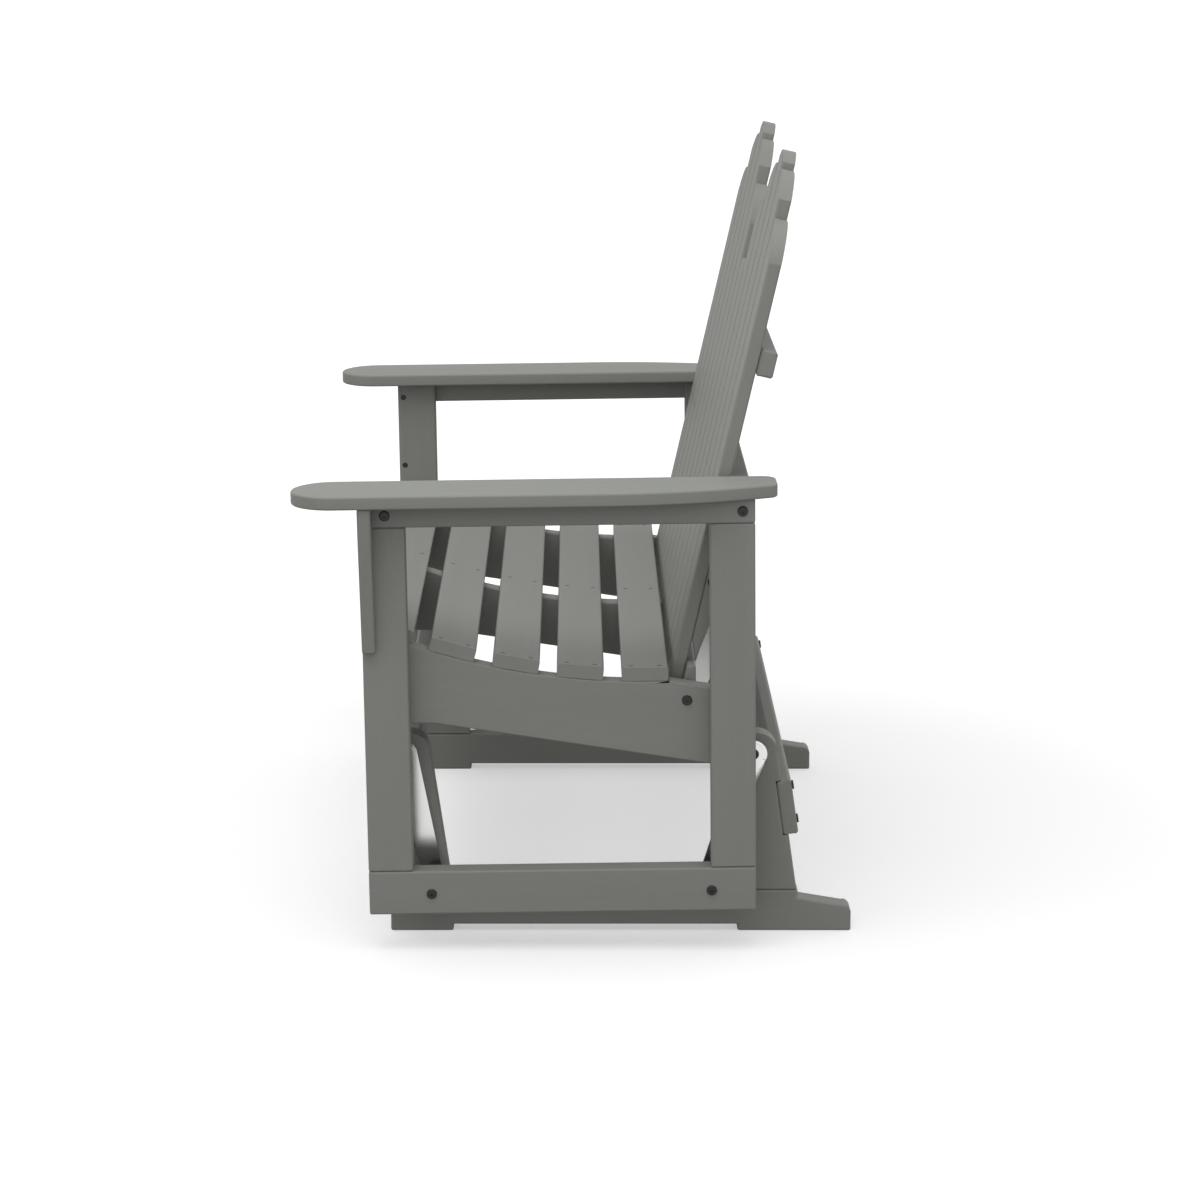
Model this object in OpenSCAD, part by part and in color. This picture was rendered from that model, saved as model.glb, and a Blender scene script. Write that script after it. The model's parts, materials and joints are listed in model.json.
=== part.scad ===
// Two-seat garden glider with slatted fan back, wide arms and a base with four swing arms.
// Units are millimetres. +Z is up, +X is to the sitter's left, and the front faces -Y.
// The origin is on the floor, under the middle of the box around the glider in its rest pose.
// Bench pieces are drawn level, with Z counted from the underside of the bottom rails, and
// are then hung on the swing arms. Their Y is counted from the middle of the side frames.

/* [Bench frame] */
// Width over the outer faces of the legs
seat_width = 1100; // [1000:10:1200]
// Depth of a side frame from front leg to rear leg
frame_depth = 551.5; // [545:0.5:560]
// Height of the armrest tops above the underside of the bottom rails
arm_height = 617; // [590:1:650]
// Thickness of the heavy lumber in legs, rails and base
lumber = 34; // [32:0.5:36]
// Thickness of the thin boards in slats and armrests
board = 19; // [17:0.5:21]
// Width of a leg seen from the side
leg_width = 63.5; // [56:0.5:68]
// Height of a bottom rail
bottom_rail_height = 64; // [60:0.5:68]
// Height of the rail under each armrest
arm_rail_height = 35; // [32:0.5:40]

/* [Armrests and corbels] */
// Width of an armrest, which is also the diameter of its round front end
arm_width = 120; // [110:1:130]
// Distance of the armrest's inner edge inside the outer face of the leg
arm_inset = 71.5; // [66:0.5:76]
// Distance that the armrest reaches forward of the front leg
arm_overhang = 94.5; // [70:0.5:110]
// Distance that the armrest reaches behind the rear leg
arm_tail = 31.8; // [28:0.2:40]
// Height of the corbel under the front of each armrest
corbel_height = 212; // [180:1:230]
// Width of the corbel at the armrest
corbel_reach = 44; // [36:1:47]

/* [Seat] */
// Height of the lowest point of the seat above the underside of the bottom rails
seat_height = 349; // [340:1:360]
// Radius of the dished seat
seat_radius = 980; // [960:10:1200]
// Number of seat slats
seat_slats = 5; // [5:1:5]
// Width of a seat slat
seat_slat_width = 66; // [60:0.5:70]
// Distance between the centres of neighbouring seat slats along the curve
seat_slat_pitch = 91; // [86:0.5:91.5]
// Thickness of a seat rail
seat_rail_thickness = 28; // [24:1:29]
// Thickness of the middle seat rail
centre_rail_thickness = 30; // [24:1:36]

/* [Back] */
// Lean of the back from upright
recline = 13.47; // [12.5:0.01:14.5]
// Number of slats in each of the two fans
fan_slats = 5; // [5:1:5]
// Width of a back slat
back_slat_width = 76; // [70:0.5:77]
// Gap between neighbouring back slats
back_slat_gap = 8; // [6:0.5:9]
// Length of the back's middle line up to the top of the tallest slat in a fan
fan_height = 1083; // [1040:1:1110]
// Distance that the second slat starts below the tallest one
second_step = 24; // [16:1:40]
// Distance that the outer slat starts below the tallest one
outer_step = 87; // [70:1:100]
// Height of the short middle slat along the back
middle_slat_height = 890; // [860:1:930]

/* [Glider] */
// Distance between the two pivots of a swing arm
hanger_length = 188.1; // [184:0.1:192]
// Lean of the front swing arms in the rest pose
front_angle = 13.12; // [12:0.01:14]
// Distance between the lower pivots along the bottom rail
lower_span = 399.1; // [396:0.1:402]
// Distance between the upper pivots along the base
upper_span = 503.4; // [501:0.1:506]
// Height of the upper pivots above the floor
pivot_height = 270.5; // [266:0.5:274]
// Width of a swing arm, a flat tapered bar with round ends, at its upper pivot
hanger_upper_width = 40; // [38:0.5:43]
// Width of a swing arm at its lower pivot
hanger_lower_width = 27.4; // [26:0.2:32]
// Thickness of a swing arm
hanger_thickness = 6; // [5:0.5:8]
// Radial play of the fitted pivots
pivot_play = 0.05; // [0.03:0.01:0.1]
// Radial play of the rear lower pivots, which take up the travel of the linkage
rear_play = 1.6; // [1.5:0.1:2]

/* [Base] */
// Width over the outer faces of the base
base_width = 906; // [896:1:908]
// Height of a skid on its feet
skid_height = 62; // [58:0.5:64]
// Height of the relief between the feet
foot_height = 9.7; // [6:0.1:12]
// Width of a post at its foot
post_foot = 87.4; // [84:0.2:90]
// Radius of a post's round head
post_head = 28.2; // [26:0.1:29]

/* [Hidden] */
$fn = 64;
half_width = seat_width / 2;
half_depth = frame_depth / 2;
leg_inner = half_width - lumber;
fit = 0.05;
past = 1;
bead = 5;
seat_edge = 3;
slat_edge = 3;

// Armrests
arm_inner = half_width - arm_inset;
arm_outer = arm_inner + arm_width;
arm_radius = arm_width / 2;
arm_tip_y = -half_depth - arm_overhang;
arm_end_y = half_depth + arm_tail;
arm_under = arm_height - board;
arm_rail_bottom = arm_under - arm_rail_height;
arm_curve_start = 60;
arm_curve_radius = 598;
arm_corner = 20;
arm_tail_narrowing = arm_curve_radius - sqrt(arm_curve_radius * arm_curve_radius
    - pow(arm_end_y - arm_corner - arm_curve_start, 2));

// Corbels: width at the foot, and width and height above the foot at the waist and shoulder
corbel_foot = 12;
corbel_waist = 26;
corbel_waist_height = 85;
corbel_shoulder = 40;
corbel_shoulder_height = 159;

// Seat
seat_low_y = 125;
first_slat_y = 121;
slat_turn = seat_slat_pitch / seat_radius * 180 / PI;
first_slat_turn = (first_slat_y - seat_low_y) / seat_radius * 180 / PI;
slat_sagitta = seat_slat_width * seat_slat_width / (8 * (seat_radius + board)) + fit;
seat_rail_outer = leg_inner;
seat_rail_inner = seat_rail_outer - seat_rail_thickness;
seat_rail_front_gap = 8;
seat_rail_rear_gap = 14;
seat_rail_front = -half_depth + seat_rail_front_gap;
seat_rail_rear = half_depth - seat_rail_rear_gap;
rail_blank_front = 160;
rail_blank_rear = 60;
seat_rail_slope = 0.165;
seat_rail_level = 242.5;
seat_rail_bend = -180;
seat_rail_end_height = 113;
seat_rail_end_start = first_slat_y + seat_slat_width / 2 + 1;
centre_rail_raise = 18.5;
slat_end_gap = 1;
centre_rail_reach = 60;
apron_bottom = 296;
slat_screw_offset = 20;
seat_screw_length = 28;

// Back
back_foot_y = 80;
back_pitch = back_slat_width + back_slat_gap;
back_half = fan_slats * back_pitch + back_slat_width / 2;
slat_foot = 269;
crown_radius = 56;
second_radius = 98;
outer_radius = 1.046 * back_slat_width;
top_bar_low = 781.5;
top_bar_height = 38;
top_bar_depth = 25;
arm_bar_height = 64;
middle_bar_height = 68;
middle_bar_depth = board;
middle_bar_gap = 35;
middle_bar_low = (arm_under - arm_bar_height) / cos(recline) - middle_bar_gap - middle_bar_height;
seat_bar_top = 345;
seat_bar_bottom = 250;
seat_bar_rear = 194;
brace_thickness = board;
brace_lean = 22.4;
brace_notch = 32;
slat_screw_spread = 18;
foot_screw_edge = 36;
top_bar_inset = 3;
arm_screw_drop = 7.7;
arm_screw_height = (arm_under - arm_screw_drop) / cos(recline);
back_screw_length = 36;

// Fasteners
bolt_radius = 5;
head_radius = 7.2;
head_height = 3;
head_bevel = 1.2;
socket_radius = 3.2;
socket_depth = 2;
shank_radius = 4;
screw_head = 3.6;
screw_head_depth = 3;
screw_shank = 1.8;
corbel_screw_head = 4.6;
corbel_screw_shank = 2.8;
corbel_screw_tops = [142, 25];
corbel_screw_grip = 20;
long_screw_head = 6;
long_screw_shank = 3;
long_screw_sink = 4;
long_screw_recess = 14;
long_screw_length = 98;
leg_screw_edge = 14;
frame_bolt_grip = 26;
bar_bolt_grip = 60;
arm_bolt_front = 36;
arm_bolt_rear = 17.6;
arm_bolt_height = 17.6;
seat_bolt_front = 33;
seat_bolt_rear = 42;
front_seat_bolt_heights = [312, 366];
rear_seat_bolt_heights = [232, 300];
seat_bar_bolt = [180, 302];

// Base
base_outer = base_width / 2;
base_inner = base_outer - lumber;
skid_front = -251.8;
skid_rear = 418.6;
front_foot_end = -160.5;
rear_foot_start = 253.4;
skid_tail_drop = 12;
post_seat_edge = 2;
skid_tail_height = 38.6;
skid_nose_radius = 12;
skid_nose_y = skid_rear - skid_nose_radius;
front_pivot_y = -230.4;
rear_pivot_y = front_pivot_y + upper_span;
post_over_pivot = 27.4;
post_top = pivot_height + post_over_pivot;
post_inset = 21.5;
post_head_z = post_top - post_head;
post_lean = 8.4;
front_post_set_back = 2.5;
front_post_front = skid_front + front_post_set_back;
rear_post_front = rear_pivot_y - post_inset;
rear_post_rear = rear_post_front + post_foot;
post_screw_edge = 21;
stretcher_low = 203;
stretcher_high = 262;
stretcher_rear = -212;
stretcher_bolt_length = 70;
stretcher_bolt_edge = 16;
rear_board = 22;
rear_board_low = 144.5;
rear_board_high = 225.5;
rear_board_round = 5.5;
rear_board_let_in = 7.5;
carriage_head = 6.5;
carriage_places = [-22.5, 28.5];
carriage_bolt_length = 57;

// Swing arms
hanger_gap = 7;
hanger_inner = base_outer + hanger_gap;
hanger_outer = hanger_inner + hanger_thickness;
upper_eye = hanger_upper_width / 2;
lower_eye = hanger_lower_width / 2;
upper_boss = 15.5;
lower_boss = 12.8;
boss_height = 1.5;
boss_outer = hanger_outer + boss_height;
bush_radius = 8;
open_bush_radius = 11;
flange_radius = 11;
flange_gap = 0.4;
spacer_radius = 9;
nut_radius = 9;
nut_height = 8;
retainer_height = 4;

// Rest pose of the linkage, from the two lengths, the two spans and the lean of the front arms
front_low_y = front_pivot_y + hanger_length * sin(front_angle);
front_low_z = pivot_height - hanger_length * cos(front_angle);
reach_y = rear_pivot_y - front_low_y;
reach_z = pivot_height - front_low_z;
reach = sqrt(reach_y * reach_y + reach_z * reach_z);
corner = acos((lower_span * lower_span + reach * reach - hanger_length * hanger_length)
    / (2 * lower_span * reach));
tilt = atan2(reach_z, reach_y) - corner;
rear_low_y = front_low_y + lower_span * cos(tilt);
rear_low_z = front_low_z + lower_span * sin(tilt);
rear_angle = -atan2(rear_pivot_y - rear_low_y, pivot_height - rear_low_z);

// Lower pivots in the bench's own level frame
bench_pivot_y = -186.6;
bench_pivot_drop = 1.3;
bench_pivot_z = bottom_rail_height / 2 - bench_pivot_drop;
bench_rear_pivot_y = bench_pivot_y + lower_span;

// The whole glider is moved so that its box is centred on the origin in plan
tip_height = arm_height - bench_pivot_z;
tip_y = front_low_y + (arm_tip_y - bench_pivot_y) * cos(tilt) - tip_height * sin(tilt);
y_shift = -(tip_y + skid_rear) / 2;

// Shared helpers

// Puts base pieces in the shared frame
module on_base() {
    translate([0, y_shift, 0]) children();
}

// Hangs bench pieces on the swing arms in the rest pose
module on_bench() {
    translate([0, y_shift + front_low_y, front_low_z]) rotate([tilt, 0, 0])
        translate([0, -bench_pivot_y, -bench_pivot_z]) children();
}

// Puts pieces on the leaning back, with Y behind the slats' front face and Z up along the slats
module on_back() {
    on_bench() in_back() children();
}

module in_back() {
    translate([0, back_foot_y, 0]) rotate([-recline, 0, 0]) children();
}

// Keeps a piece on the +X side, or mirrors it to the other side
module on_side(side) {
    if (side > 0) children();
    else mirror([1, 0, 0]) children();
}

// Runs a side view outline, drawn as Y and Z, from one X to another
module across(from_x, to_x) {
    translate([from_x, 0, 0]) rotate([90, 0, 90]) linear_extrude(to_x - from_x) children();
}

// Runs a front view outline, drawn as X and Z, from one Y to another
module through(from_y, to_y) {
    translate([0, to_y, 0]) rotate([90, 0, 0]) linear_extrude(to_y - from_y) children();
}

// Round bar along X
module rod(from_x, to_x, y, z, radius) {
    translate([from_x, y, z]) rotate([0, 90, 0]) cylinder(h = to_x - from_x, r = radius);
}

// Round bar along Y
module pin(from_y, to_y, x, z, radius) {
    translate([x, from_y, z]) rotate([-90, 0, 0]) cylinder(h = to_y - from_y, r = radius);
}

// Rectangle from one corner with all four corners rounded
module soft_rectangle(size_a, size_b, radius) {
    translate([radius, 0]) square([size_a - 2 * radius, size_b]);
    translate([0, radius]) square([size_a, size_b - 2 * radius]);
    for (a = [radius, size_a - radius], b = [radius, size_b - radius]) translate([a, b]) circle(radius);
}

// Y of the rear face of the back slats at a height in the bench frame
function slat_rear(z) = back_foot_y + board / cos(recline) + z * tan(recline);

// Y of the front face of the back slats at a height in the bench frame
function slat_front(z) = back_foot_y + z * tan(recline);

// Height of the seat rails' lower edge: straight, and level in front of the bend
function rail_under(y) = seat_rail_level - seat_rail_slope * max(y, seat_rail_bend);

// Base

// Side view of a skid, with its tail cut lower behind the rear post
module skid_outline() {
    nose_z = skid_tail_height - skid_nose_radius;
    difference() {
        union() {
            translate([skid_front, 0])
                square([rear_post_rear + post_seat_edge - skid_front, skid_height]);
            polygon([[rear_post_rear, 0], [skid_nose_y, 0], [skid_nose_y, skid_tail_height],
                     [rear_post_rear, skid_height - skid_tail_drop]]);
            translate([skid_nose_y, 0]) square([skid_nose_radius, nose_z]);
            translate([skid_nose_y, nose_z]) circle(skid_nose_radius);
        }
        translate([front_foot_end, -past])
            square([rear_foot_start - front_foot_end, foot_height + past]);
    }
}

// Places along Y of the long screws that hold the posts from below the skid
post_screw_places = [for (front = [front_post_front, rear_post_front])
                     each [front + post_screw_edge, front + post_foot - post_screw_edge]];

// Long screw driven up through a skid or bottom rail, its head sunk below the underside
module long_screw(x, y) {
    translate([x, y, long_screw_sink]) {
        cylinder(h = long_screw_recess - long_screw_sink, r = long_screw_head);
        cylinder(h = long_screw_length - long_screw_sink, r = long_screw_shank);
    }
}

// Hole for a long screw, with a recess that is open below
module long_screw_hole(x, y) {
    translate([x, y, -past])
        cylinder(h = past + long_screw_recess + fit, r = long_screw_head + fit);
    translate([x, y, 0]) cylinder(h = long_screw_length + fit, r = long_screw_shank + fit);
}

module post_screws() {
    for (y = post_screw_places) long_screw((base_inner + base_outer) / 2, y);
}

module post_screw_holes() {
    for (y = post_screw_places) long_screw_hole((base_inner + base_outer) / 2, y);
}

module skid(side) {
    color("dimgray") on_base() on_side(side) difference() {
        across(base_inner, base_outer) skid_outline();
        post_screw_holes();
    }
}

// Side view of a post, with its upright front edge at Y = 0 and its rear edge leaning
module post_outline() {
    polygon([[0, skid_height], [post_foot, skid_height],
             [post_head + post_head * cos(post_lean), post_head_z + post_head * sin(post_lean)],
             [0, post_head_z]]);
    translate([post_head, post_head_z]) circle(post_head);
}

module front_post(side) {
    color("dimgray") on_base() on_side(side) difference() {
        across(base_inner, base_outer) translate([front_post_front, 0]) post_outline();
        upper_pivot_bolt(front_pivot_y, fit);
        for (z = front_stretcher_bolts) stretcher_bolt(z, fit);
        post_screw_holes();
    }
}

module rear_post(side) {
    color("dimgray") on_base() on_side(side) difference() {
        across(base_inner, base_outer) translate([rear_post_front, 0]) post_outline();
        in_rear_board() rear_board_notch();
        upper_pivot_bolt(rear_pivot_y, fit);
        post_screw_holes();
        in_rear_board() for (z = carriage_places) carriage_bolt(1, z, fit);
    }
}

// Frame of the rear board: origin at the middle of its front face, leaning with the posts
module in_rear_board() {
    middle = (rear_board_low + rear_board_high) / 2;
    edge = rear_post_front + 2 * post_head + (post_head_z - middle) * tan(post_lean);
    translate([0, edge - rear_board_let_in, middle]) rotate([post_lean, 0, 0]) children();
}

// Notch for the rear board in the backs of both posts
module rear_board_notch() {
    height = rear_board_high - rear_board_low;
    translate([-base_outer - past, 0, -height / 2])
        cube([2 * (base_outer + past), rear_board, height]);
}

module carriage_bolt(side, z, gap) {
    x = side * (base_inner + base_outer) / 2;
    pin(rear_board - carriage_bolt_length, rear_board, x, z, shank_radius + gap);
    pin(rear_board, rear_board + head_height, x, z, carriage_head + gap);
}

module rear_stretcher() {
    height = rear_board_high - rear_board_low;
    color("dimgray") on_base() in_rear_board() difference() {
        across(-base_outer, base_outer) translate([0, -height / 2])
            soft_rectangle(rear_board, height, rear_board_round);
        for (side = [-1, 1], z = carriage_places) carriage_bolt(side, z, fit);
    }
}

front_stretcher_bolts = [stretcher_low + stretcher_bolt_edge, stretcher_high - stretcher_bolt_edge];

module stretcher_bolt(z, gap) {
    y = stretcher_rear - lumber / 2;
    rod(base_outer - stretcher_bolt_length, base_outer + gap, y, z, shank_radius + gap);
    if (gap == 0) bolt_head(base_outer, y, z);
}

module front_stretcher() {
    color("dimgray") on_base() difference() {
        across(-base_inner, base_inner) translate([stretcher_rear - lumber, stretcher_low])
            soft_rectangle(lumber, stretcher_high - stretcher_low, bead);
        for (side = [-1, 1], z = front_stretcher_bolts) on_side(side) stretcher_bolt(z, fit);
    }
}

// Upper pivot bolt through a swing arm and a post, with its nut let into the post's inner face
module upper_pivot_bolt(y, gap) {
    rod(base_inner - gap, boss_outer + flange_gap, y, pivot_height, bolt_radius + gap);
    rod(base_inner - gap, base_inner + nut_height + gap, y, pivot_height, nut_radius + gap);
}

module upper_pivot_bolts() {
    color("black") on_base() for (side = [-1, 1], y = [front_pivot_y, rear_pivot_y]) on_side(side) {
        upper_pivot_bolt(y, 0);
        bolt_head(boss_outer + flange_gap, y, pivot_height);
    }
}

module base_bolts() {
    color("black") on_base() for (side = [-1, 1]) on_side(side) {
        for (z = front_stretcher_bolts) stretcher_bolt(z, 0);
        post_screws();
        in_rear_board() for (z = carriage_places) carriage_bolt(1, z, 0);
    }
}

// Swing arms

// Hangs a front swing arm from its upper pivot, leaning as in the rest pose
module on_front_pivot() {
    translate([0, front_pivot_y, pivot_height]) rotate([front_angle, 0, 0]) children();
}

// Hangs a rear swing arm from its upper pivot, leaning as in the rest pose
module on_rear_pivot() {
    translate([0, rear_pivot_y, pivot_height]) rotate([rear_angle, 0, 0]) children();
}

// Side view of a swing arm: a round eye at each end, joined by the lines that touch both eyes
module hanger_outline() {
    taper = asin((upper_eye - lower_eye) / hanger_length);
    upper_touch = upper_eye * cos(taper);
    lower_touch = lower_eye * cos(taper);
    upper_z = -upper_eye * sin(taper);
    lower_z = -hanger_length - lower_eye * sin(taper);
    circle(upper_eye);
    translate([0, -hanger_length]) circle(lower_eye);
    polygon([[-upper_touch, upper_z], [-lower_touch, lower_z],
             [lower_touch, lower_z], [upper_touch, upper_z]]);
}

// Flat swing arm hanging from its upper pivot, with a round boss at each eye on its outer face
module hanger_blank(low_bush) {
    difference() {
        union() {
            across(hanger_inner, hanger_outer) hanger_outline();
            rod(hanger_outer, boss_outer, 0, 0, upper_boss);
            rod(hanger_outer, boss_outer, 0, -hanger_length, lower_boss);
        }
        rod(hanger_inner - past, boss_outer + past, 0, 0, bush_radius + fit);
        rod(hanger_inner - past, boss_outer + past, 0, -hanger_length, low_bush + fit);
    }
}

module front_hanger(side) {
    color("silver") on_base() on_side(side) on_front_pivot() hanger_blank(bush_radius);
}

module rear_hanger(side) {
    color("silver") on_base() on_side(side) on_rear_pivot() hanger_blank(open_bush_radius);
}

// Sleeve in the eye of a swing arm
module bush(z, bore, radius) {
    difference() {
        rod(hanger_inner, boss_outer, 0, z, radius);
        rod(hanger_inner - past, boss_outer + past, 0, z, bore);
    }
}

// Sleeve with a flange that keeps the swing arm off its post
module flanged_bush(z, bore, radius) {
    difference() {
        union() {
            rod(hanger_inner, boss_outer, 0, z, radius);
            rod(base_outer + flange_gap, hanger_inner, 0, z, flange_radius);
        }
        rod(base_outer, boss_outer + past, 0, z, bore);
    }
}

module bush_pair(low_bore, low_radius) {
    flanged_bush(0, bolt_radius + pivot_play, bush_radius);
    bush(-hanger_length, low_bore, low_radius);
}

module front_bushes() {
    color("black") on_base() for (side = [-1, 1]) on_side(side) on_front_pivot()
        bush_pair(bolt_radius + pivot_play, bush_radius);
}

module rear_bushes() {
    color("black") on_base() for (side = [-1, 1]) on_side(side) on_rear_pivot()
        bush_pair(bolt_radius + rear_play, open_bush_radius);
}

// Side frames of the bench

// Round bolt head on a face, with a bevelled rim and a hexagon socket
module bolt_head(face_x, y, z) {
    rim_x = face_x + head_height - head_bevel;
    difference() {
        union() {
            rod(face_x, rim_x, y, z, head_radius);
            translate([rim_x, y, z]) rotate([0, 90, 0])
                cylinder(h = head_bevel, r1 = head_radius, r2 = head_radius - head_bevel);
        }
        translate([face_x + head_height - socket_depth, y, z]) rotate([0, 90, 0])
            cylinder(h = socket_depth + past, r = socket_radius, $fn = 6);
    }
}

module lower_pivot_bolt(y, gap) {
    rod(hanger_inner - retainer_height - flange_gap, half_width, y, bench_pivot_z, bolt_radius + gap);
}

// Lower pivot bolt with its head, its retainer inside the swing arm and its loose spacer
module lower_pivot_set(y) {
    retainer_end = hanger_inner - flange_gap;
    lower_pivot_bolt(y, 0);
    bolt_head(half_width, y, bench_pivot_z);
    rod(retainer_end - retainer_height, retainer_end, y, bench_pivot_z, nut_radius);
    difference() {
        rod(boss_outer + flange_gap, leg_inner, y, bench_pivot_z, spacer_radius);
        lower_pivot_bolt(y, fit);
    }
}

module lower_pivot_bolts() {
    color("black") on_bench() for (side = [-1, 1], y = [bench_pivot_y, bench_rear_pivot_y])
        on_side(side) lower_pivot_set(y);
}

// Places along Y of the long screws that hold the legs from below the bottom rail
leg_screw_places = [-half_depth + leg_screw_edge, -half_depth + leg_width - leg_screw_edge,
                    half_depth - leg_width + leg_screw_edge, half_depth - leg_screw_edge];

module leg_screw_holes() {
    for (y = leg_screw_places) long_screw_hole((leg_inner + half_width) / 2, y);
}

corbel_y = -half_depth + board / 2;

// Screw through the leg into the corbel, at a distance under the armrest
module corbel_screw(below_arm, gap) {
    z = arm_under - below_arm;
    rod(leg_inner - gap, leg_inner + screw_head_depth, corbel_y, z, corbel_screw_head + gap);
    rod(leg_inner, half_width + corbel_screw_grip, corbel_y, z, corbel_screw_shank + gap);
}

module leg_screws() {
    color("black") on_bench() for (side = [-1, 1]) on_side(side) {
        for (y = leg_screw_places) long_screw((leg_inner + half_width) / 2, y);
        for (below_arm = corbel_screw_tops) corbel_screw(below_arm, 0);
    }
}

module bottom_rail(side) {
    color("dimgray") on_bench() on_side(side) difference() {
        translate([leg_inner, -half_depth, 0]) cube([lumber, frame_depth, bottom_rail_height]);
        for (y = [bench_pivot_y, bench_rear_pivot_y]) lower_pivot_bolt(y, fit);
        leg_screw_holes();
    }
}

// Bolts through the frame: each place is Y and Z
arm_bolt_places = [[-half_depth + arm_bolt_front, arm_rail_bottom + arm_bolt_height],
                   [half_depth - arm_bolt_rear, arm_rail_bottom + arm_bolt_height]];
seat_bolt_places = concat([for (z = front_seat_bolt_heights) [-half_depth + seat_bolt_front, z]],
                          [for (z = rear_seat_bolt_heights) [half_depth - seat_bolt_rear, z]]);

module arm_bolt(place, gap) {
    rod(half_width - frame_bolt_grip, half_width + gap, place[0], place[1], shank_radius + gap);
}

module seat_bolt(place, gap) {
    rod(seat_rail_inner - gap, seat_rail_inner + head_height, place[0], place[1], head_radius + gap);
    rod(seat_rail_inner, leg_inner + frame_bolt_grip, place[0], place[1], shank_radius + gap);
}

module bar_bolt(gap) {
    rod(seat_rail_inner - bar_bolt_grip, seat_rail_outer + gap, seat_bar_bolt[0], seat_bar_bolt[1],
        shank_radius + gap);
}

module middle_bar_bolt(gap) {
    in_back() {
        y = board + middle_bar_depth / 2;
        z = middle_bar_low + middle_bar_height / 2;
        rod(back_half - brace_thickness - bar_bolt_grip, back_half + gap, y, z, shank_radius + gap);
        if (gap == 0) bolt_head(back_half, y, z);
    }
}

module frame_bolts() {
    color("black") on_bench() for (side = [-1, 1]) on_side(side) {
        for (place = arm_bolt_places) {
            arm_bolt(place, 0);
            bolt_head(half_width, place[0], place[1]);
        }
        for (place = seat_bolt_places) seat_bolt(place, 0);
        bar_bolt(0);
        bolt_head(seat_rail_outer, seat_bar_bolt[0], seat_bar_bolt[1]);
        middle_bar_bolt(0);
    }
}

module leg_blank(from_y) {
    difference() {
        translate([leg_inner, from_y, bottom_rail_height])
            cube([lumber, leg_width, arm_under - bottom_rail_height]);
        translate([half_width - board - fit, from_y - past, arm_rail_bottom - fit])
            cube([board + fit + past, leg_width + 2 * past, arm_rail_height + fit + past]);
        for (place = seat_bolt_places) seat_bolt(place, fit);
        for (place = arm_bolt_places) arm_bolt(place, fit);
        leg_screw_holes();
    }
}

module front_leg(side) {
    color("dimgray") on_bench() on_side(side) difference() {
        leg_blank(-half_depth);
        for (below_arm = corbel_screw_tops) corbel_screw(below_arm, fit);
    }
}

module rear_leg(side) {
    color("dimgray") on_bench() on_side(side) leg_blank(half_depth - leg_width);
}

module arm_rail(side) {
    color("dimgray") on_bench() on_side(side) difference() {
        translate([half_width - board, -half_depth, arm_rail_bottom])
            cube([board, frame_depth, arm_rail_height]);
        for (place = arm_bolt_places) arm_bolt(place, fit);
        for (below_arm = corbel_screw_tops) corbel_screw(below_arm, fit);
    }
}

// Armrest seen from above: round front, outer edge drawn in towards the narrower rear end
module arm_outline() {
    middle = arm_inner + arm_radius;
    nose_y = arm_tip_y + arm_radius;
    translate([middle, nose_y]) circle(arm_radius);
    translate([arm_inner, nose_y]) square([arm_width, arm_curve_start - nose_y]);
    intersection() {
        translate([arm_inner, arm_curve_start]) soft_tail();
        translate([arm_outer - arm_curve_radius, arm_curve_start]) circle(arm_curve_radius, $fn = 256);
    }
}

module soft_tail() {
    length = arm_end_y - arm_curve_start;
    tail = arm_width - arm_tail_narrowing;
    square([arm_width, length - arm_corner]);
    translate([arm_corner, 0]) square([tail - 2 * arm_corner, length]);
    for (x = [arm_corner, tail - arm_corner]) translate([x, length - arm_corner]) circle(arm_corner);
}

module armrest(side) {
    color("gray") on_bench() on_side(side) translate([0, 0, arm_under])
        linear_extrude(board) arm_outline();
}

module corbel(side) {
    color("dimgray") on_bench() on_side(side) difference() {
        through(-half_depth, -half_depth + board)
            translate([half_width, arm_under - corbel_height])
                polygon([[0, 0], [corbel_foot, 0], [corbel_waist, corbel_waist_height],
                         [corbel_shoulder, corbel_shoulder_height], [corbel_reach, corbel_height],
                         [0, corbel_height]]);
        for (below_arm = corbel_screw_tops) corbel_screw(below_arm, fit);
    }
}

// Seat

// Space above the undersides of the seat slats
module above_rail() {
    translate([seat_low_y, seat_height + seat_radius]) circle(seat_radius + board, $fn = 256);
}

// Side view of a seat rail, from its front edge to its upright or leaning rear edge
module rail_outline(raise, front_y, rear_low_y, rear_high_y) {
    difference() {
        polygon([[front_y, rail_under(front_y) + raise],
                 [seat_rail_bend, rail_under(seat_rail_bend) + raise],
                 [rear_low_y, rail_under(rear_low_y) + raise],
                 [rear_high_y, seat_height + rail_blank_rear],
                 [front_y, seat_height + rail_blank_front]]);
        above_rail();
    }
}

// Space above the end of a seat rail, whose edges run side by side behind the last slat
module above_rail_end() {
    end_y = seat_rail_rear + past;
    top_z = seat_height + rail_blank_rear + past;
    across(seat_rail_inner - past, seat_rail_outer + past)
        polygon([[seat_rail_end_start, rail_under(seat_rail_end_start) + seat_rail_end_height],
                 [end_y, rail_under(end_y) + seat_rail_end_height],
                 [end_y, top_z], [seat_rail_end_start, top_z]]);
}

module seat_rail(side) {
    color("dimgray") on_bench() on_side(side) difference() {
        across(seat_rail_inner, seat_rail_outer)
            rail_outline(0, seat_rail_front, seat_rail_rear, seat_rail_rear);
        above_rail_end();
        for (place = seat_bolt_places) seat_bolt(place, fit);
        bar_bolt(fit);
        seat_screws_at(seat_rail_inner + seat_rail_thickness / 2, fit);
    }
}

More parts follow.
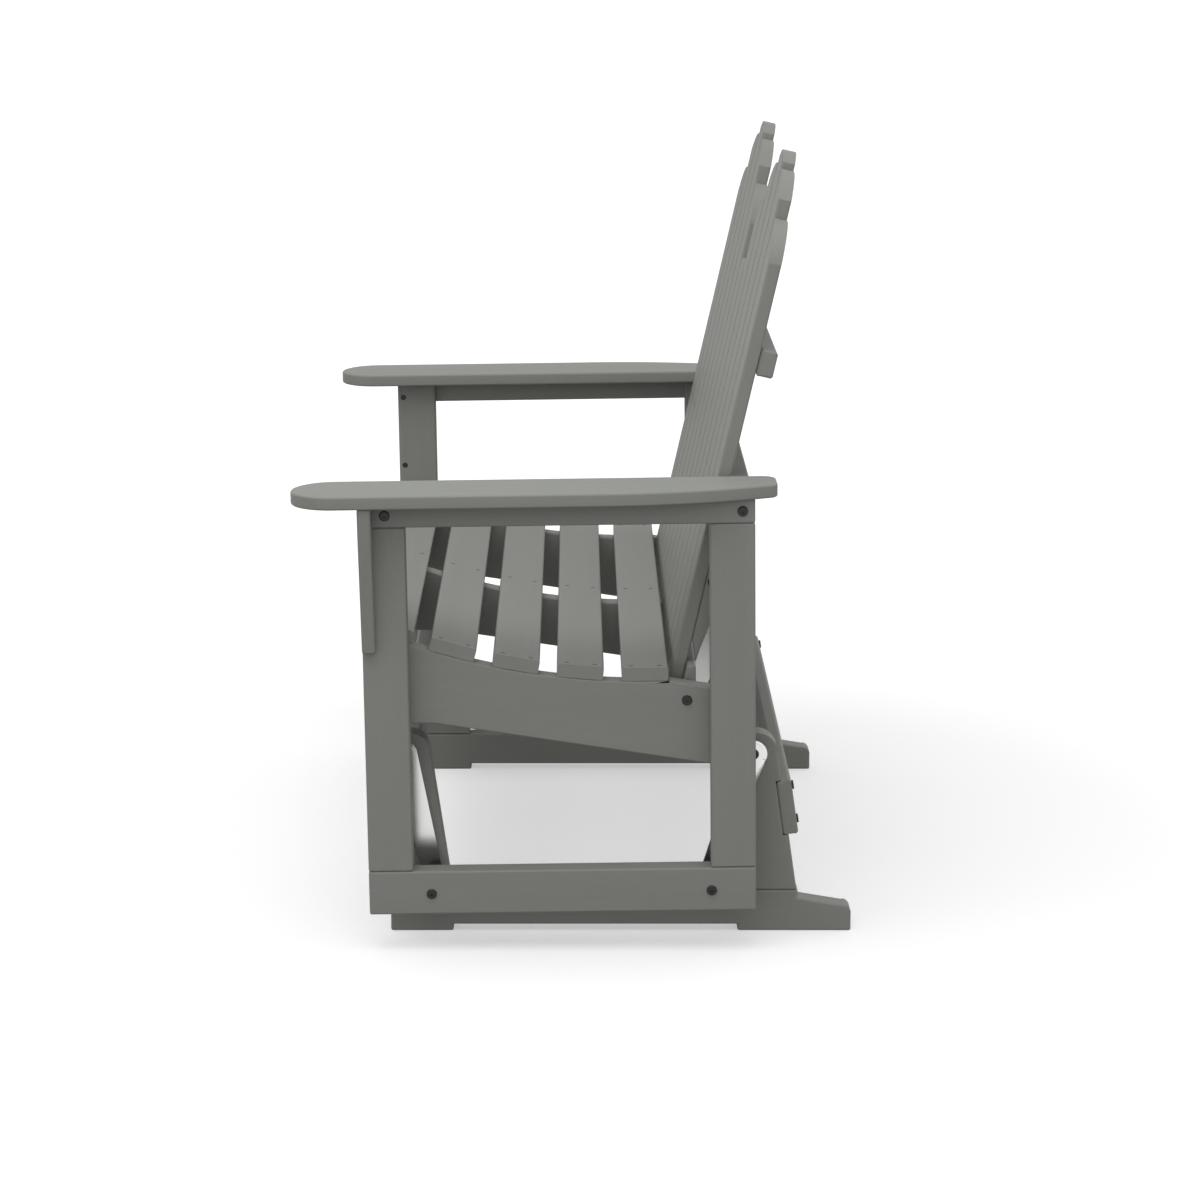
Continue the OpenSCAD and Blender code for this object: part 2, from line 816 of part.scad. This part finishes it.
module centre_rail() {
    rear_low_z = rail_under(back_foot_y + centre_rail_reach) + centre_rail_raise;
    color("dimgray") on_bench() difference() {
        across(-centre_rail_thickness / 2, centre_rail_thickness / 2)
            rail_outline(centre_rail_raise, seat_rail_front + board, slat_front(rear_low_z),
                         slat_front(seat_height + rail_blank_rear));
        seat_screws_at(0, fit);
    }
}

module front_apron() {
    color("dimgray") on_bench() difference() {
        across(-seat_rail_inner, seat_rail_inner) difference() {
            translate([seat_rail_front, apron_bottom])
                square([board, seat_height + rail_blank_front - apron_bottom]);
            above_rail();
        }
        seat_screws_at(0, fit);
    }
}

// Frame of one seat slat, with its top face at Z = 0. Slat 1 is at the back, the last one in front.
module at_seat_slat(index) {
    turn = first_slat_turn - (index - 1) * slat_turn;
    translate([0, seat_low_y + seat_radius * sin(turn), seat_height + seat_radius * (1 - cos(turn))])
        rotate([turn, 0, 0]) translate([0, 0, slat_sagitta]) children();
}

module seat_screw(x, y, gap) {
    translate([x, y, -screw_head_depth]) cylinder(h = screw_head_depth + gap, r = screw_head + gap);
    translate([x, y, -seat_screw_length]) cylinder(h = seat_screw_length, r = screw_shank + gap);
}

module seat_screws_at(x, gap) {
    for (index = [1 : seat_slats], y = [-slat_screw_offset, slat_screw_offset])
        at_seat_slat(index) seat_screw(x, y, gap);
}

module seat_screws() {
    color("black") on_bench() for (side = [-1, 0, 1])
        seat_screws_at(side * (seat_rail_inner + seat_rail_thickness / 2), 0);
}

module seat_slat(index) {
    length = 2 * (leg_inner - slat_end_gap);
    color("gray") on_bench() at_seat_slat(index) difference() {
        across(-length / 2, length / 2) translate([-seat_slat_width / 2, -board])
            soft_rectangle(seat_slat_width, board, seat_edge);
        for (side = [-1, 0, 1], y = [-slat_screw_offset, slat_screw_offset])
            seat_screw(side * (seat_rail_inner + seat_rail_thickness / 2), y, fit);
    }
}

// Back

// Top of the tallest slat of a fan, or of the middle slat
module crowned_outline(height) {
    half = back_slat_width / 2;
    translate([-half, slat_foot]) square([back_slat_width, height - crown_radius - slat_foot]);
    intersection() {
        translate([0, height - crown_radius]) circle(crown_radius);
        translate([-half, height - crown_radius]) square([back_slat_width, crown_radius]);
    }
}

// Top of a slat beside the tallest one, falling away towards +X
module shoulder_outline(height, radius) {
    half = back_slat_width / 2;
    translate([-half, slat_foot]) square([back_slat_width, height - radius - slat_foot]);
    intersection() {
        translate([-half, height - radius]) circle(radius);
        translate([-half, height - radius]) square([back_slat_width, radius]);
    }
}

// Place of a slat in its fan: 0 is the tallest one, 1 and 2 step down on either side
function fan_place(index) = (index > 0 ? index : -index) - (fan_slats + 1) / 2;

module slat_outline(index) {
    place = fan_place(index);
    away = (place > 0 ? 1 : -1) * (index > 0 ? 1 : -1);
    if (index == 0) {
        crowned_outline(middle_slat_height);
    } else if (place == 0) {
        crowned_outline(fan_height);
    } else {
        mirror([away > 0 ? 0 : 1, 0])
            shoulder_outline(fan_height - (abs(place) == 1 ? second_step : outer_step),
                             abs(place) == 1 ? second_radius : outer_radius);
    }
}

back_screw_heights = [slat_foot + foot_screw_edge, arm_screw_height, top_bar_low + top_bar_height / 2];

module back_screw(x, z, gap) {
    pin(-gap, screw_head_depth, x, z, screw_head + gap);
    pin(0, back_screw_length + gap, x, z, screw_shank + gap);
}

module back_screws_at(index, gap) {
    for (z = back_screw_heights, x = [-slat_screw_spread, slat_screw_spread])
        back_screw(index * back_pitch + x, z, gap);
}

// Back slats are numbered from -X to +X, and index 0 is the short one in the middle
module back_slat(number) {
    index = number - fan_slats - 1;
    color("gray") on_back() difference() {
        translate([index * back_pitch, 0, 0]) intersection() {
            through(0, board) slat_outline(index);
            translate([-back_slat_width / 2, 0, 0]) linear_extrude(fan_height + past)
                soft_rectangle(back_slat_width, board, slat_edge);
        }
        back_screws_at(index, fit);
    }
}

module all_back_screws(gap) {
    for (index = [-fan_slats : fan_slats]) back_screws_at(index, gap);
}

module back_screws() {
    color("black") on_back() all_back_screws(0);
}

module seat_bar() {
    color("dimgray") on_bench() difference() {
        across(-seat_rail_inner, seat_rail_inner)
            polygon([[slat_rear(seat_bar_bottom), seat_bar_bottom], [seat_bar_rear, seat_bar_bottom],
                     [seat_bar_rear, seat_bar_top], [slat_rear(seat_bar_top), seat_bar_top]]);
        for (side = [-1, 1]) on_side(side) bar_bolt(fit);
        in_back() all_back_screws(fit);
    }
}

module middle_bar() {
    color("dimgray") on_bench() difference() {
        in_back() across(-back_half + brace_thickness, back_half - brace_thickness)
            translate([board, middle_bar_low])
                soft_rectangle(middle_bar_depth, middle_bar_height, bead / 2);
        for (side = [-1, 1]) on_side(side) middle_bar_bolt(fit);
    }
}

arm_bar_front = slat_rear(arm_under);

module arm_bar() {
    color("dimgray") on_bench() difference() {
        across(-leg_inner, leg_inner) translate([arm_bar_front, arm_under - arm_bar_height])
            square([half_depth - arm_bar_front, arm_bar_height]);
        in_back() all_back_screws(fit);
    }
}

module top_bar() {
    color("dimgray") on_back() difference() {
        across(-back_half + top_bar_inset, back_half - top_bar_inset) translate([board, top_bar_low])
            soft_rectangle(top_bar_depth, top_bar_height, bead);
        all_back_screws(fit);
    }
}

module back_brace(side) {
    low = seat_bar_top;
    high = arm_under - arm_bar_height;
    color("dimgray") on_bench() on_side(side) difference() {
        across(back_half - brace_thickness, back_half)
            polygon([[seat_bar_rear, low], [seat_bar_rear + (high - low) * tan(brace_lean), high],
                     [slat_rear(high), high], [slat_rear(low + brace_notch), low + brace_notch]]);
        middle_bar_bolt(fit);
    }
}

// One module for each node, left being the sitter's left at +X

module skid_left() {
    skid(1);
}

module skid_right() {
    skid(-1);
}

module front_post_left() {
    front_post(1);
}

module front_post_right() {
    front_post(-1);
}

module rear_post_left() {
    rear_post(1);
}

module rear_post_right() {
    rear_post(-1);
}

module front_hanger_left() {
    front_hanger(1);
}

module front_hanger_right() {
    front_hanger(-1);
}

module rear_hanger_left() {
    rear_hanger(1);
}

module rear_hanger_right() {
    rear_hanger(-1);
}

module bottom_rail_left() {
    bottom_rail(1);
}

module bottom_rail_right() {
    bottom_rail(-1);
}

module front_leg_left() {
    front_leg(1);
}

module front_leg_right() {
    front_leg(-1);
}

module rear_leg_left() {
    rear_leg(1);
}

module rear_leg_right() {
    rear_leg(-1);
}

module arm_rail_left() {
    arm_rail(1);
}

module arm_rail_right() {
    arm_rail(-1);
}

module armrest_left() {
    armrest(1);
}

module armrest_right() {
    armrest(-1);
}

module corbel_left() {
    corbel(1);
}

module corbel_right() {
    corbel(-1);
}

module seat_rail_left() {
    seat_rail(1);
}

module seat_rail_right() {
    seat_rail(-1);
}

module back_brace_left() {
    back_brace(1);
}

module back_brace_right() {
    back_brace(-1);
}

module seat_slat_1() {
    seat_slat(1);
}

module seat_slat_2() {
    seat_slat(2);
}

module seat_slat_3() {
    seat_slat(3);
}

module seat_slat_4() {
    seat_slat(4);
}

module seat_slat_5() {
    seat_slat(5);
}

module back_slat_1() {
    back_slat(1);
}

module back_slat_2() {
    back_slat(2);
}

module back_slat_3() {
    back_slat(3);
}

module back_slat_4() {
    back_slat(4);
}

module back_slat_5() {
    back_slat(5);
}

module back_slat_6() {
    back_slat(6);
}

module back_slat_7() {
    back_slat(7);
}

module back_slat_8() {
    back_slat(8);
}

module back_slat_9() {
    back_slat(9);
}

module back_slat_10() {
    back_slat(10);
}

module back_slat_11() {
    back_slat(11);
}

skid_left();
skid_right();
front_post_left();
front_post_right();
rear_post_left();
rear_post_right();
front_stretcher();
rear_stretcher();
upper_pivot_bolts();
base_bolts();
front_hanger_left();
front_hanger_right();
front_bushes();
rear_hanger_left();
rear_hanger_right();
rear_bushes();
bottom_rail_left();
bottom_rail_right();
front_leg_left();
front_leg_right();
rear_leg_left();
rear_leg_right();
arm_rail_left();
arm_rail_right();
armrest_left();
armrest_right();
corbel_left();
corbel_right();
seat_rail_left();
seat_rail_right();
centre_rail();
front_apron();
seat_slat_1();
seat_slat_2();
seat_slat_3();
seat_slat_4();
seat_slat_5();
back_slat_1();
back_slat_2();
back_slat_3();
back_slat_4();
back_slat_5();
back_slat_6();
back_slat_7();
back_slat_8();
back_slat_9();
back_slat_10();
back_slat_11();
seat_bar();
middle_bar();
arm_bar();
top_bar();
back_brace_left();
back_brace_right();
lower_pivot_bolts();
frame_bolts();
leg_screws();
seat_screws();
back_screws();
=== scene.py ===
import json
import math

import bmesh
import bpy
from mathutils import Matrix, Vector

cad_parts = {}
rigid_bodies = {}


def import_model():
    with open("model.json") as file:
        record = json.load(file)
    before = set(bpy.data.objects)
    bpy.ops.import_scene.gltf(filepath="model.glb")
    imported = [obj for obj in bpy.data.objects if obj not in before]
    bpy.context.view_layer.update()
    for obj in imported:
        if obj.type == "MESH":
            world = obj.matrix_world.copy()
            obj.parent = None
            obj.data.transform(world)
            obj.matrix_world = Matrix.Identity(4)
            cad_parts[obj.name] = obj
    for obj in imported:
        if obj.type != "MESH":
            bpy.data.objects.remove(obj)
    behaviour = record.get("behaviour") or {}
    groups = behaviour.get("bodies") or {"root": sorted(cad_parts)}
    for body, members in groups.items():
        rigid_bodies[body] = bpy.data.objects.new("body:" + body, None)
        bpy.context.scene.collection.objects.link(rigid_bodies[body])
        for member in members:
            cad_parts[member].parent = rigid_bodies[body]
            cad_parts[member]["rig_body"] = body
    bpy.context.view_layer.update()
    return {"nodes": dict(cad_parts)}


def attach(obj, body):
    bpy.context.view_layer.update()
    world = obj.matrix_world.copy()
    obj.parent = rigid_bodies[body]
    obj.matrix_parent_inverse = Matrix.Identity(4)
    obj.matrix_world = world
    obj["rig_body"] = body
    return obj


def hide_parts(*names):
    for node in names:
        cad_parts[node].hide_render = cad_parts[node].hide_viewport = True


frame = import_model()
nodes = frame["nodes"]
print("frame loaded with", len(nodes), "nodes")


# Shader maths as plain expressions: a Wire holds one output socket of a node tree
class Wire:
    def __init__(self, maker, socket):
        self.maker = maker
        self.socket = socket

    def maths(self, operation, first, second):
        return self.maker.node("ShaderNodeMath", {"operation": operation}, {0: first, 1: second})

    def __add__(self, other):
        return self.maths("ADD", self, other)

    def __mul__(self, other):
        return self.maths("MULTIPLY", self, other)


# Places of the colour sockets on a mix node, where several share one name
mixSockets = {"first": 6, "second": 7, "result": 2}
opaque = (1,)


# Makes the nodes of one material or of the world, node by node
class Maker:
    def __init__(self, owner, shaderKind="BSDF_PRINCIPLED"):
        owner.use_nodes = True
        self.owner = owner
        self.tree = owner.node_tree
        self.shader = next(n for n in self.tree.nodes if n.type == shaderKind)

    def put(self, socket, value):
        if isinstance(value, Wire):
            self.tree.links.new(value.socket, socket)
        else:
            socket.default_value = value

    def node(self, kind, settings, inputs, output=0):
        made = self.tree.nodes.new(kind)
        for key, value in settings.items():
            setattr(made, key, value)
        for key, value in inputs.items():
            self.put(made.inputs[key], value)
        return Wire(self, made.outputs[output])

    def place(self, turn=(0, 0, 0), stretch=(1, 1, 1)):
        coords = self.node("ShaderNodeTexCoord", {}, {}, "Object")
        inputs = {"Vector": coords, "Rotation": turn, "Scale": stretch}
        return self.node("ShaderNodeMapping", {}, inputs)

    def noise(self, where, scale, detail, roughness=0.5):
        inputs = {"Vector": where, "Scale": scale, "Detail": detail, "Roughness": roughness}
        return self.node("ShaderNodeTexNoise", {}, inputs, "Fac")

    def between(self, amount, low, high):
        return self.node("ShaderNodeMapRange", {}, {"Value": amount, "To Min": low, "To Max": high})

    # The share of the way that an amount has gone from one value to another
    def share(self, amount, start, end):
        inputs = {"Value": amount, "From Min": start, "From Max": end}
        return self.node("ShaderNodeMapRange", {}, inputs)

    def colour(self, value):
        return value if isinstance(value, Wire) else value + opaque

    def blendColours(self, amount, first, second):
        inputs = {
            "Factor": amount,
            mixSockets["first"]: self.colour(first),
            mixSockets["second"]: self.colour(second),
        }
        return self.node("ShaderNodeMix", {"data_type": "RGBA"}, inputs, mixSockets["result"])

    # One where the camera or a shiny face looks, and zero for the light that falls on the bench
    def seen(self):
        byCamera = self.node("ShaderNodeLightPath", {}, {}, "Is Camera Ray")
        inGloss = self.node("ShaderNodeLightPath", {}, {}, "Is Glossy Ray")
        return byCamera + inGloss

    # Bump from a height in metres
    def bump(self, height):
        return self.node("ShaderNodeBump", {}, {"Height": height, "Distance": 1, "Strength": 1})

    def finish(self, **sockets):
        for name, value in sockets.items():
            self.put(self.shader.inputs[name.replace("_", " ")], value)
        return self.owner


def newMaker(name):
    return Maker(bpy.data.materials.new(name))


# Poly lumber: moulded slate grey boards with a fine matte skin drawn out along their length
lumberLook = {
    "dark": (0.192, 0.197, 0.178),
    "light": (0.232, 0.238, 0.217),
    "stretch": 0.05,
    "grain": {"scale": 420, "detail": 4, "roughness": 0.6},
    "cloud": {"scale": 35, "detail": 2},
    "pebble": {"scale": 1100, "detail": 2},
    "grainShare": 0.45,
    "cloudShare": 0.3,
    "pebbleShare": 0.25,
    "shadeRange": (-0.4, 1.4),
    "grainDepth": 0.00007,
    "pebbleDepth": 0.00006,
    "roughness": (0.58, 0.7),
}


def lumberMaterial(name, alongAxis, lean=0):
    look = lumberLook
    maker = newMaker(name)
    stretch = [1, 1, 1]
    stretch[alongAxis] = look["stretch"]
    along = maker.place((math.radians(lean), 0, 0), stretch)
    evenly = maker.place()
    grain = maker.noise(along, **look["grain"])
    cloud = maker.noise(along, **look["cloud"])
    pebble = maker.noise(evenly, **look["pebble"])
    shade = grain * look["grainShare"] + cloud * look["cloudShare"] + pebble * look["pebbleShare"]
    lightness = maker.between(shade, *look["shadeRange"])
    return maker.finish(
        Base_Color=maker.blendColours(lightness, look["dark"], look["light"]),
        Roughness=maker.between(grain, *look["roughness"]),
        Normal=maker.bump(grain * look["grainDepth"] + pebble * look["pebbleDepth"]),
    )


# Black coated steel of the bolts and screws
hardwareLook = {
    "dark": (0.012, 0.012, 0.013),
    "light": (0.03, 0.03, 0.032),
    "speck": {"scale": 1400, "detail": 3},
    "speckDepth": 0.00004,
    "roughness": (0.34, 0.5),
    "metallic": 0.6,
}


def hardwareMaterial():
    look = hardwareLook
    maker = newMaker("hardwareBlack")
    speck = maker.noise(maker.place(), **look["speck"])
    return maker.finish(
        Base_Color=maker.blendColours(speck, look["dark"], look["light"]),
        Roughness=maker.between(speck, *look["roughness"]),
        Normal=maker.bump(speck * look["speckDepth"]),
        Metallic=look["metallic"],
    )


# Bright polished steel of the swing arms, faintly brushed along their length
hangerLook = {
    "dark": (0.62, 0.62, 0.61),
    "light": (0.68, 0.68, 0.67),
    "brush": {"scale": 600, "detail": 2},
    "stretch": (1, 1, 0.03),
    "roughness": (0.16, 0.24),
    "metallic": 1.0,
}


def hangerMaterial():
    look = hangerLook
    maker = newMaker("hangerPolished")
    brushed = maker.noise(maker.place(stretch=look["stretch"]), **look["brush"])
    return maker.finish(
        Base_Color=maker.blendColours(brushed, look["dark"], look["light"]),
        Roughness=maker.between(brushed, *look["roughness"]),
        Metallic=look["metallic"],
    )


# Moulded nylon of the bushes
bushLook = {
    "dark": (0.018, 0.018, 0.019),
    "light": (0.032, 0.032, 0.034),
    "mould": {"scale": 500, "detail": 2},
    "mouldDepth": 0.00005,
    "roughness": (0.5, 0.62),
}


def bushMaterial():
    look = bushLook
    maker = newMaker("bushNylon")
    mould = maker.noise(maker.place(), **look["mould"])
    return maker.finish(
        Base_Color=maker.blendColours(mould, look["dark"], look["light"]),
        Roughness=maker.between(mould, *look["roughness"]),
        Normal=maker.bump(mould * look["mouldDepth"]),
    )


# The back leans by its recline in the bench, less the tilt of the bench in the rest pose
bench = {"recline": 13.47, "tilt": 0.79}
axes = {"x": 0, "y": 1, "z": 2}
materials = {
    "alongX": lumberMaterial("lumberAlongX", axes["x"]),
    "alongY": lumberMaterial("lumberAlongY", axes["y"]),
    "alongZ": lumberMaterial("lumberAlongZ", axes["z"]),
    "alongBack": lumberMaterial("lumberAlongBack", axes["z"], bench["recline"] - bench["tilt"]),
    "hardware": hardwareMaterial(),
    "hanger": hangerMaterial(),
    "bush": bushMaterial(),
}
print("materials made:", ", ".join(materials))


def finishOf(node):
    if "bolts" in node or "screws" in node:
        return "hardware"
    if node.endswith("bushes"):
        return "bush"
    if "hanger" in node:
        return "hanger"
    if node.startswith(("back_slat", "back_brace")):
        return "alongBack"
    if "leg" in node or "post" in node or "corbel" in node:
        return "alongZ"
    if node.startswith(("skid", "bottom_rail", "arm_rail", "armrest", "seat_rail", "centre_rail")):
        return "alongY"
    return "alongX"


for name, node in nodes.items():
    node.data.materials.clear()
    node.data.materials.append(materials[finishOf(name)])


# Boards: the saw-sharp edges of the frame's solids are eased as on the real lumber. The slats
# of seat and back have their long edges rounded already.
easing = {
    "radius": 0.003,
    "segments": 3,
    "sharpAngle": math.radians(35),
    "shortestEdge": 0.0024,
    "merge": 0.00002,
}
smoothAngle = math.radians(30)


def onlySelect(piece):
    bpy.ops.object.select_all(action="DESELECT")
    piece.select_set(True)
    bpy.context.view_layer.objects.active = piece


# Smooth shading that leaves the large faces flat up to their eased edges
def shadeEvenly(piece):
    bpy.ops.object.shade_smooth_by_angle(angle=smoothAngle)
    weighting = piece.modifiers.new("weighting", "WEIGHTED_NORMAL")
    weighting.keep_sharp = True
    bpy.ops.object.modifier_apply(modifier=weighting.name)


def easedBoard(name):
    board = bpy.data.objects.new(name + "_eased", nodes[name].data.copy())
    bpy.context.scene.collection.objects.link(board)
    onlySelect(board)
    bpy.ops.object.mode_set(mode="EDIT")
    bpy.ops.mesh.select_all(action="SELECT")
    bpy.ops.mesh.remove_doubles(threshold=easing["merge"])
    bpy.ops.mesh.select_mode(type="EDGE")
    bpy.ops.mesh.select_all(action="DESELECT")
    bpy.ops.mesh.edges_select_sharp(sharpness=easing["sharpAngle"])
    shape = bmesh.from_edit_mesh(board.data)
    for edge in shape.edges:
        if edge.select and (edge.calc_length() < easing["shortestEdge"] or not edge.is_convex):
            edge.select = False
    shape.select_flush(False)
    bmesh.update_edit_mesh(board.data)
    bpy.ops.mesh.bevel(offset=easing["radius"], segments=easing["segments"], affect="EDGES",
                       clamp_overlap=False, loop_slide=False)
    bpy.ops.object.mode_set(mode="OBJECT")
    shadeEvenly(board)
    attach(board, nodes[name]["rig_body"])
    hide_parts(name)


def isEased(name):
    return finishOf(name).startswith("along") and "slat" not in name


for name in sorted(nodes):
    if isEased(name):
        easedBoard(name)
print("boards eased")

for name, node in nodes.items():
    if not isEased(name):
        onlySelect(node)
        bpy.ops.object.shade_smooth_by_angle(angle=smoothAngle)


# Floor and room: the floor is lifted by a glow only where the camera or a shiny face sees it, and
# gives little light back to the bench. The glow is weaker near the bench than far from it, which
# paints shade on the floor around the bench on top of its soft shadow, and rises to white far from
# it
black = (0, 0, 0)
white = (1, 1, 1)
room = {
    "floorSize": 240,
    "floorRoughness": 0.9,
    "floorSeen": (0.62, 0.62, 0.62),
    "floorBounce": (0.18, 0.18, 0.18),
    # Weaker glow near the bench: painted shade on the floor around it
    "liftNearPaintedShade": (0.43, 0.43, 0.43),
    "liftFar": (0.64, 0.64, 0.64),
    "liftFrom": 0.9,
    "liftTo": 2.2,
    "skyLight": (0.78, 0.78, 0.78),
}

bpy.ops.mesh.primitive_plane_add(size=room["floorSize"], location=(0, 0, 0))
floor = bpy.context.object
floor.name = "floor"
floorMaker = newMaker("floorPale")
seen = floorMaker.seen()
place = floorMaker.place()
distance = floorMaker.node("ShaderNodeVectorMath", {"operation": "LENGTH"}, {0: place}, "Value")
farness = floorMaker.share(distance, room["liftFrom"], room["liftTo"])
# Glow blended from the weaker near value, painted shade round the bench, to the white far value
lift = floorMaker.blendColours(farness, room["liftNearPaintedShade"], room["liftFar"])
floor.data.materials.append(floorMaker.finish(
    Base_Color=floorMaker.blendColours(seen, room["floorBounce"], room["floorSeen"]),
    Roughness=room["floorRoughness"],
    Specular_IOR_Level=0,
    Emission_Color=floorMaker.blendColours(seen, black, lift),
    Emission_Strength=1.0,
))

# The sky is white where it is seen, and a little weaker as light
world = bpy.data.worlds.new("room")
bpy.context.scene.world = world
skyMaker = Maker(world, "BACKGROUND")
skyColour = skyMaker.blendColours(skyMaker.seen(), room["skyLight"], white)
skyMaker.finish(Color=skyColour, Strength=1.0)

lampTarget = Vector((0, 0, 0.5))
lamps = {
    "overhead": {"at": (1.2, -0.5, 3.2), "size": 2.4, "energy": 39},
    "fill": {"at": (4.2, -0.3, 1.4), "size": 2.5, "energy": 18},
}
for name, lamp in lamps.items():
    bpy.ops.object.light_add(type="AREA", location=lamp["at"])
    light = bpy.context.object
    light.name = name
    light.data.size = lamp["size"]
    light.data.energy = lamp["energy"]
    towards = lampTarget - Vector(lamp["at"])
    light.rotation_euler = towards.to_track_quat("-Z", "Y").to_euler()
print("room and lamps set")

# Camera at the photograph's viewing angle, square on to the sitter's left side
view = {
    "at": (5.1, -0.0055, 1.5471),
    "lens": 100.18,
    "sensor": 36,
    "down": 12.76,
    "shiftX": 0.0222,
}
quarterTurn = math.radians(90)
bpy.ops.object.camera_add(location=view["at"],
                          rotation=(quarterTurn - math.radians(view["down"]), 0, quarterTurn))
camera = bpy.context.object
camera.data.lens = view["lens"]
camera.data.sensor_width = view["sensor"]
camera.data.shift_x = view["shiftX"]
camera.data.dof.use_dof = False
bpy.context.scene.camera = camera
bpy.context.scene.view_settings.view_transform = "Standard"
print("camera set")
